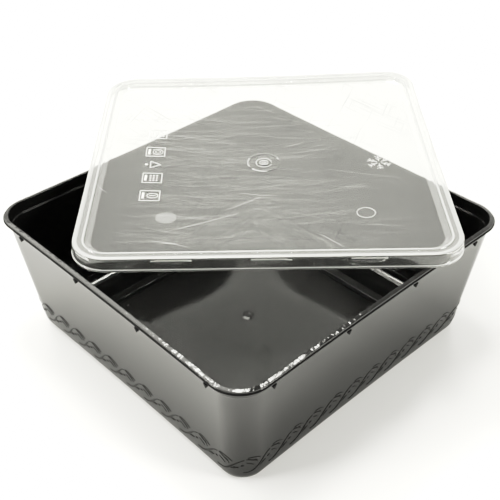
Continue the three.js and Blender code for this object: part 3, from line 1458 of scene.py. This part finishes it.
    def build_shell(self, materials: Sequence[Material]) -> Object:
        """The thin moulded lid.

        Args:
            materials: one for each part of the shell, in the parts' order.

        Returns:
            The piece that stands for the lid.
        """
        knees = self.edge_knees()
        under_knees = offset_knees(knees, self.wall, self.under_round)
        under_knees[0] = Knee(self.half - self.wall, 0.0)
        edge = section_line(knees, self.round_steps, self.edge_piece)
        under = section_line(under_knees, self.round_steps, self.under_piece)
        halves = self.panel_halves()
        rings = [self.panel_ring(half, self.wall) for half in reversed(halves)]
        rings += [self.edge_ring(half, z) for half, z in reversed(under)]
        border_from = len(rings)
        rings += [self.edge_ring(half, z) for half, z in edge]
        rings += [self.panel_ring(half, 0.0) for half in halves]
        around = len(rings[0])
        middle = float(self.panel_z(np.zeros(1), np.zeros(1))[0])
        ends = self.to_row(np.zeros(2), np.zeros(2), np.array((middle - self.wall, middle)))
        parts = MeshParts()
        parts.add(np.concatenate((ends[:1], *rings, ends[1:])), shell_faces(len(rings), around))
        u, v = self.steps.loop(self.half, self.lip_corner).points.T
        for k, (half, z) in enumerate(edge):
            start = around * (1 + border_from + k)
            parts.finishes[start:start + around] = [self.part_at(half, z).value] * around
            # Painted highlight: the deepest part of each snap bead takes the whiter marking finish, so it
            # reads as a bright glint under the border.
            if half > self.border_inner and self.snap_shine[0] < z < self.snap_shine[1]:
                deep = self.snap_inset(u, v, z) > self.snap_shine_share * self.snap_depth
                for place in np.flatnonzero(deep):
                    parts.finishes[start + place] = LidPart.SNAP.value
        shell = parts.piece("lid_shell", materials, Slot.LID)
        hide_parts("lid")
        return shell


class Pictogram(Enum):
    """Plain signs moulded in the lid."""

    WAVES = "waves"
    PLATE = "plate"
    DROPS = "drops"
    CUP = "cup"


@dataclass(frozen=True)
class Wear:
    """Random marks of use on the lid: how many, their sizes, turn and bow, and how they gather near left."""

    name: str
    seed: int
    count: int
    length: Pair
    width: Pair
    turn: float
    gather: float
    bow: float = 0.04
    tip: float = 0.05


SCRATCHES = Wear("lid_scratches", 11, 120, (14.0, 60.0), (0.1, 0.5), 0.25, 0.2)
SCUFFS = Wear("lid_scuffs", 5, 170, (24.0, 90.0), (0.6, 3.2), 0.12, 0.5)


@dataclass
class LidMarkings:
    """Raised plain signs and round marks on the lid's panel, in the lid's frame."""

    lid: Lid
    line: float = 0.5
    thin: float = 0.4
    bar: float = 1.5
    drop: float = 0.9
    arm: float = 0.42
    branch: float = 0.34
    ring_line: float = 0.28
    gate_line: float = 0.35
    rib: Rib = Rib(height=0.2, sunk=0.08)
    scratch_rib: Rib = Rib(height=0.04, sunk=0.02)
    frame_size: Pair = (12.6, 11.6)
    column: float = -69.2
    places: tuple[tuple[Pictogram, float], ...] = (
        (Pictogram.WAVES, 34.0), (Pictogram.PLATE, 11.5), (Pictogram.DROPS, -19.8), (Pictogram.CUP, -39.8))
    triangle: Curve = ((-71.4, -7.9), (-65.0, -4.0), (-71.4, -0.1))
    dot: Pair = (-73.9, -3.9)
    dot_radius: float = 0.5
    snowflake: Pair = (72.3, -5.5)
    snowflake_reach: float = 7.6
    snowflake_middle: float = 1.4
    snowflake_lean: float = 1.2
    snowflake_branches: tuple[Pair, ...] = ((0.45, 1.4), (0.74, 1.68))
    sign_size: float = 0.93
    mark: Pair = (57.6, -60.8)
    mark_radius: float = 5.3
    disc: Pair = (-58.1, -63.3)
    disc_radius: float = 6.2
    disc_eye: float = 0.4
    gate_rings: tuple[Triple, ...] = (
        (10.2, 0.4, 0.6), (10.2, 2.6, 3.6), (10.2, 3.9, 4.9),
        (4.9, 0.0, 6.0), (2.6, 0.0, 6.1), (1.2, 0.0, 6.1),
    )
    gate_middle: Pair = (0.0, -1.0)
    wear_margin: float = 4.0
    scratch_widths: Pair = (0.06, 0.14)
    scratches: tuple[Curve, ...] = (
        ((-101.8, -30.0), (-99.0, -34.5), (-94.3, -37.9)),
        ((14.3, 18.4), (20.0, 20.2), (26.3, 23.2)),
        ((-24.1, -55.5), (-12.0, -47.0), (-2.2, -40.2)),
        ((29.3, -81.6), (36.0, -89.0), (41.8, -95.8)),
        ((-65.4, -86.8), (-54.0, -88.5), (-43.0, -93.8)),
        ((-61.0, -90.5), (-55.0, -88.0), (-50.0, -90.0)),
        ((-15.0, -36.0), (-4.0, -39.5), (7.0, -39.0)),
        ((-58.0, -78.0), (-30.0, -66.0), (-16.0, -58.0)),
    )

    def place(self, u: Array, v: Array, height: Array) -> Array:
        """Puts lid coordinates on the panel's upper face."""
        return self.lid.to_row(u, v, self.lid.panel_z(u, v) + height)

    def stroke(self, parts: MeshParts, path: Array, width: float, closed: bool = False) -> None:
        """Adds one raised line of the same width all along its path."""
        raised_line(parts, path, np.full(len(path), width), self.rib, self.place, closed)

    def drawing(self, kind: Pictogram) -> list[tuple[Array, float, bool]]:
        """What stands in the frame of a sign of the column.

        Args:
            kind: which sign.

        Returns:
            For each line its points round the sign's middle, its width and whether it is closed.
        """
        if kind is Pictogram.WAVES:
            t = np.linspace(-3.6, 3.6, 15)
            wave = 0.5 * np.sin(t * 1.8)
            return [(np.stack((across + wave, t), axis=1), self.thin, False) for across in (-1.0, 1.4, 3.8)]
        if kind is Pictogram.PLATE:
            rings = (circle((1.6, 0.0), 3.4), circle((1.6, 0.0), 1.7, 16))
            return [(ring, self.thin, True) for ring in rings]
        if kind is Pictogram.DROPS:
            return [
                (polyline([(across - 0.5, up), (across + 0.7, up)], 1.0), self.drop, False)
                for across in (-1.2, 0.9, 3.0)
                for up in (-3.0, -1.0, 1.0, 3.0)
            ]
        rim = circle((1.7, 0.0), 3.5, squash=0.75)
        return [(rim, self.thin, True), (polyline([(-0.4, 0.0), (3.8, 0.0)], 1.4), self.thin, False)]

    def pictogram(self, parts: MeshParts, kind: Pictogram, middle: float) -> None:
        """Adds a framed sign of the column.

        Args:
            parts: where it goes.
            kind: which sign.
            middle: its place along the column.
        """
        wide, high = (size / 2 for size in self.frame_size)
        frame_line = polyline([(-wide, -high), (wide, -high), (wide, high), (-wide, high)], 2.0, closed=True)
        bar = polyline([(-4.3, -3.4), (-4.3, 3.4)], 1.7)
        lines = [(frame_line, self.line, True), (bar, self.bar, False), *self.drawing(kind)]
        for path, width, closed in lines:
            self.stroke(parts, np.array((self.column, middle)) + self.sign_size * path, width, closed)

    def flake(self, parts: MeshParts) -> None:
        """Adds the six-armed frost sign.

        Args:
            parts: where it goes.
        """
        centre = np.array(self.snowflake)
        reach = self.snowflake_reach
        for arm in range(6):
            angle = math.pi / 6 + arm * math.pi / 3
            out = np.array((math.cos(angle), math.sin(angle)))
            side = np.array((-out[1], out[0]))
            self.stroke(parts, centre + polyline([out * self.snowflake_middle, out * reach], 2.0), self.arm)
            for share, length in self.snowflake_branches:
                root = out * reach * share
                lean = side * self.snowflake_lean
                left, right = (root + (out + way) * length for way in (lean, -lean))
                self.stroke(parts, centre + polyline([left, root, right], 1.0), self.branch)

    def build(self, marking: Material) -> Object:
        """All the signs and marks.

        Args:
            marking: their material.

        Returns:
            The piece.
        """
        parts = MeshParts()
        for kind, middle in self.places:
            self.pictogram(parts, kind, middle)
        self.stroke(parts, polyline(self.triangle, 1.6, closed=True), self.line, closed=True)
        self.stroke(parts, circle(self.dot, self.dot_radius, 10), 2 * self.dot_radius, closed=True)
        self.flake(parts)
        self.stroke(parts, circle(self.mark, self.mark_radius, 40), self.ring_line, closed=True)
        for radius, start, end in self.gate_rings:
            t = np.linspace(start, end, 24)
            arc = np.stack((np.cos(t), np.sin(t)), axis=1) * radius
            self.stroke(parts, arc + self.gate_middle, self.gate_line)
        for corners in self.scratches:
            path = bezier(corners, 16)
            tip, swell = self.scratch_widths
            widths = tip + swell * np.sin(np.linspace(0.0, math.pi, len(path)))
            raised_line(parts, path, widths, self.scratch_rib, self.place)
        return parts.piece("lid_markings", (marking,), Slot.LID)

    def build_disc(self, soft: Material) -> Object:
        """The round mark that is frosted all over.

        Args:
            soft: its material.

        Returns:
            The piece.
        """
        parts = MeshParts()
        ring = circle(self.disc, self.disc_radius / 2, 40)
        widths = np.full(len(ring), self.disc_radius - self.disc_eye)
        raised_line(parts, ring, widths, self.scratch_rib, self.place, closed=True)
        return parts.piece("lid_disc", (soft,), Slot.LID)

    def build_wear(self, wear: Wear, soft: Material) -> Object:
        """Many fine marks of use.

        Args:
            wear: what they are like.
            soft: their material.

        Returns:
            The piece.
        """
        parts = MeshParts()
        chance = np.random.default_rng(wear.seed)
        reach = self.lid.panel_half - self.wear_margin
        for _ in range(wear.count):
            length = chance.uniform(*wear.length)
            turn = chance.normal(0.0, wear.turn)
            half = np.array((math.cos(turn), math.sin(turn))) * length / 2
            room = reach - np.abs(half)
            middle = chance.uniform(-1.0, 1.0, 2) * room
            middle -= wear.gather * chance.uniform(0.0, 1.0, 2) * (middle + room)
            bow = chance.normal(0.0, wear.bow) * np.array((-half[1], half[0]))
            path = bezier((middle - half, middle + bow, middle + half), 14)
            swell = chance.uniform(*wear.width) * np.sin(np.linspace(0.0, math.pi, len(path)))
            widths = wear.tip + swell
            raised_line(parts, path, widths, self.scratch_rib, self.place)
        return parts.piece(wear.name, (soft,), Slot.LID)


# ---------------------------------------------------------------- studio


@dataclass(frozen=True)
class Lamp:
    """A square soft box that faces the tub: where it stands, its size and its radiance."""

    name: str
    azimuth: float
    elevation: float
    size: float
    radiance: float
    distance: float = 1.6

    def build(self) -> Object:
        """Makes the light.

        Returns:
            The light, at its distance from the origin, azimuth counted from +X.
        """
        data = bpy.data.lights.new(self.name, "AREA")
        data.shape = "SQUARE"
        data.size = self.size
        data.energy = self.radiance * math.pi * self.size * self.size
        data.color = WARM_WHITE
        made = into_scene(self.name, data)
        a, e = math.radians(self.azimuth), math.radians(self.elevation)
        out = Vector((math.cos(a) * math.cos(e), math.sin(a) * math.cos(e), math.sin(e)))
        made.location = out * self.distance
        made.rotation_euler = out.to_track_quat("Z", "Y").to_euler()
        return made


@dataclass(frozen=True)
class Studio:
    """White sweep, soft light and the camera."""

    azimuth: float = 46.764
    elevation: float = 36.981
    roll: float = -0.497
    distance: float = 0.62529
    target: Triple = (-0.02056, 0.01035, 0.0)
    focal_length: float = 63.407
    sensor: float = 36.0
    clip: Pair = (0.01, 50.0)
    floor_half: float = 6.0
    floor_color: Triple = (0.86, 0.86, 0.85)
    floor_roughness: float = 0.8
    floor_specular: float = 0.2
    horizon: float = 2.3
    sky: Curve = ((0.0, 1.0), (0.6, 0.95), (0.7, 0.6), (0.8, 0.3), (1.0, 0.2))
    bright_side: Triple = (-0.684, 0.729, 0.0)
    dim_share: float = 0.22
    bright_share: float = 1.0
    side_power: float = 1.5
    lamps: tuple[Lamp, ...] = (
        Lamp("key", 212.0, 57.0, 1.5, 6.2),
        Lamp("edge_left", 184.0, 62.8, 0.18, 50.0),
        Lamp("edge_corner", 149.4, 81.1, 0.3, 45.0),
        Lamp("edge_right", 92.5, 65.9, 0.2, 50.0),
        Lamp("low_right", 18.9, 29.0, 0.42, 45.0),
        Lamp("low_left", 249.0, 24.0, 0.42, 45.0),
    )
    film_knee: float = 0.45
    film_white: float = 2.2
    film_points: int = 14

    def camera(self) -> Object:
        """The camera at the photograph's viewing angle.

        Returns:
            The camera object, set as the scene's camera.
        """
        a, e, roll = (math.radians(value) for value in (self.azimuth, self.elevation, self.roll))
        back = Vector((math.sin(a) * math.cos(e), -math.cos(a) * math.cos(e), math.sin(e)))
        right = Vector((math.cos(a), math.sin(a), 0.0))
        up = back.cross(right)
        rolled_right = right * math.cos(roll) + up * math.sin(roll)
        rolled_up = up * math.cos(roll) - right * math.sin(roll)
        place = Vector(self.target) + back * self.distance
        data = bpy.data.cameras.new("photo_camera")
        data.lens = self.focal_length
        data.sensor_width = self.sensor
        data.clip_start, data.clip_end = self.clip
        made = into_scene("photo_camera", data)
        axes = Matrix((rolled_right, rolled_up, back)).transposed().to_4x4()
        made.matrix_world = Matrix.Translation(place) @ axes
        bpy.context.scene.camera = made
        return made

    def floor(self) -> Object:
        """The pale floor.

        Returns:
            The floor, which belongs to the stage.
        """
        material = bpy.data.materials.new("pale_floor")
        material.use_nodes = True
        graph = Graph(material.node_tree)
        shader = graph.node("ShaderNodeBsdfPrincipled", {
            "Base Color": (*self.floor_color, 1.0),
            "Roughness": self.floor_roughness,
            "Specular IOR Level": self.floor_specular,
        })
        graph.node("ShaderNodeOutputMaterial", {"Surface": shader.outputs["BSDF"]})
        h = self.floor_half
        mesh = bpy.data.meshes.new("floor")
        mesh.from_pydata([(-h, -h, 0.0), (h, -h, 0.0), (h, h, 0.0), (-h, h, 0.0)], [], [(0, 1, 2, 3)])
        mesh.materials.append(material)
        made = into_scene("floor", mesh)
        made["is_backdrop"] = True
        return made

    def world(self) -> None:
        """Bright near the horizon and darker above, as round a white sweep in a room."""
        world = bpy.data.worlds.new("studio")
        bpy.context.scene.world = world
        world.use_nodes = True
        graph = Graph(world.node_tree)
        direction = graph.node("ShaderNodeTexCoord").outputs["Generated"]
        height = graph.node("ShaderNodeSeparateXYZ", {0: direction}).outputs["Z"]
        ramp = graph.node("ShaderNodeValToRGB", {"Fac": graph.math("ABSOLUTE", height)})
        stops = ramp.color_ramp.elements
        while len(stops) < len(self.sky):
            stops.new(0.5)
        for stop, (place, value) in zip(stops, self.sky):
            stop.position = place
            stop.color = (*(value * share for share in WARM_WHITE), 1.0)
        sides = {0: direction, 1: self.bright_side}
        facing = graph.node("ShaderNodeVectorMath", sides, operation="DOT_PRODUCT").outputs["Value"]
        turned = graph.math("POWER", graph.math("MULTIPLY_ADD", facing, 0.5, 0.5), self.side_power)
        side = graph.math("MULTIPLY_ADD", turned, self.bright_share - self.dim_share, self.dim_share)
        dimmed = {0: ramp.outputs["Color"], "Scale": side}
        light = graph.node("ShaderNodeVectorMath", dimmed, operation="SCALE")
        glow = {"Color": light.outputs["Vector"], "Strength": self.horizon}
        background = graph.node("ShaderNodeBackground", glow)
        graph.node("ShaderNodeOutputWorld", {"Surface": background.outputs["Background"]})

    def film(self) -> None:
        """A film curve: even up to its knee, then a long soft shoulder, to show white plastic on white."""
        view = bpy.context.scene.view_settings
        view.view_transform = "Standard"
        view.use_curve_mapping = True
        mapping = view.curve_mapping
        mapping.white_level = (self.film_white,) * 3
        mapping.extend = "HORIZONTAL"
        curve = mapping.curves[3]
        room = 1.0 - self.film_knee
        reach = (self.film_white - self.film_knee) / room
        curve.points[0].location = (0.0, 0.0)
        curve.points[1].location = (1.0, 1.0)
        for k in range(self.film_points):
            over = reach * (k / self.film_points) ** 2
            level = self.film_knee + room * over
            shown = self.film_knee + room * over * (1 + over / reach ** 2) / (1 + over)
            curve.points.new(level / self.film_white, shown)
        for point in curve.points:
            point.handle_type = "VECTOR"
        mapping.update()

    def build(self) -> None:
        """Camera, floor, sky, lamps and film."""
        self.camera()
        self.floor()
        self.world()
        for lamp in self.lamps:
            lamp.build()
        self.film()


# ---------------------------------------------------------------- the whole


def middle_of(node: str) -> Pair:
    """The middle of a node's box seen from above, in millimetres.

    Args:
        node: the node's name.

    Returns:
        Its X and Y.
    """
    low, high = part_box(node)
    centre = (low + high) / (2 * MM)
    return centre.x, centre.y


def write_sizes() -> None:
    """Works out the solids' box and the dressed part's box, and keeps neither."""
    boxes = {"cad": CAD_BOUNDS, "visual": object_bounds()}
    {name: [list(corner) for corner in box] for name, box in boxes.items()}


def main() -> None:
    """Builds the studio, the tub and the lid round the frame."""
    logging.basicConfig(level=logging.INFO, format="%(message)s")
    Studio().build()
    skins = Skins(moulded_skin(), fine_streaks(), painted_shade_mask())
    tub_finishes = [TUB_FINISHES[part].material(skins) for part in TubPart]
    lid_finishes = [LID_FINISHES[part].material(skins) for part in LidPart]
    low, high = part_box("tub")
    tub = Tub(middle_of("tub"), (high.x - low.x) / (2 * MM), high.z / MM)
    tub.build_shell(tub_finishes)
    tub.build_lugs(tub_finishes[TubPart.EDGE])
    ScrollBand(tub).build(RELIEF.material(skins))
    lid = Lid(middle_of("lid"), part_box("lid")[0].z / MM)
    lid.build_shell(lid_finishes)
    markings = LidMarkings(lid)
    markings.build(lid_finishes[LidPart.SNAP])
    soft = SOFT.material(skins)
    markings.build_disc(soft)
    markings.build_wear(SCRATCHES, soft)
    markings.build_wear(SCUFFS, HAZE.material(skins))
    write_sizes()


if __name__ == "__main__":
    main()
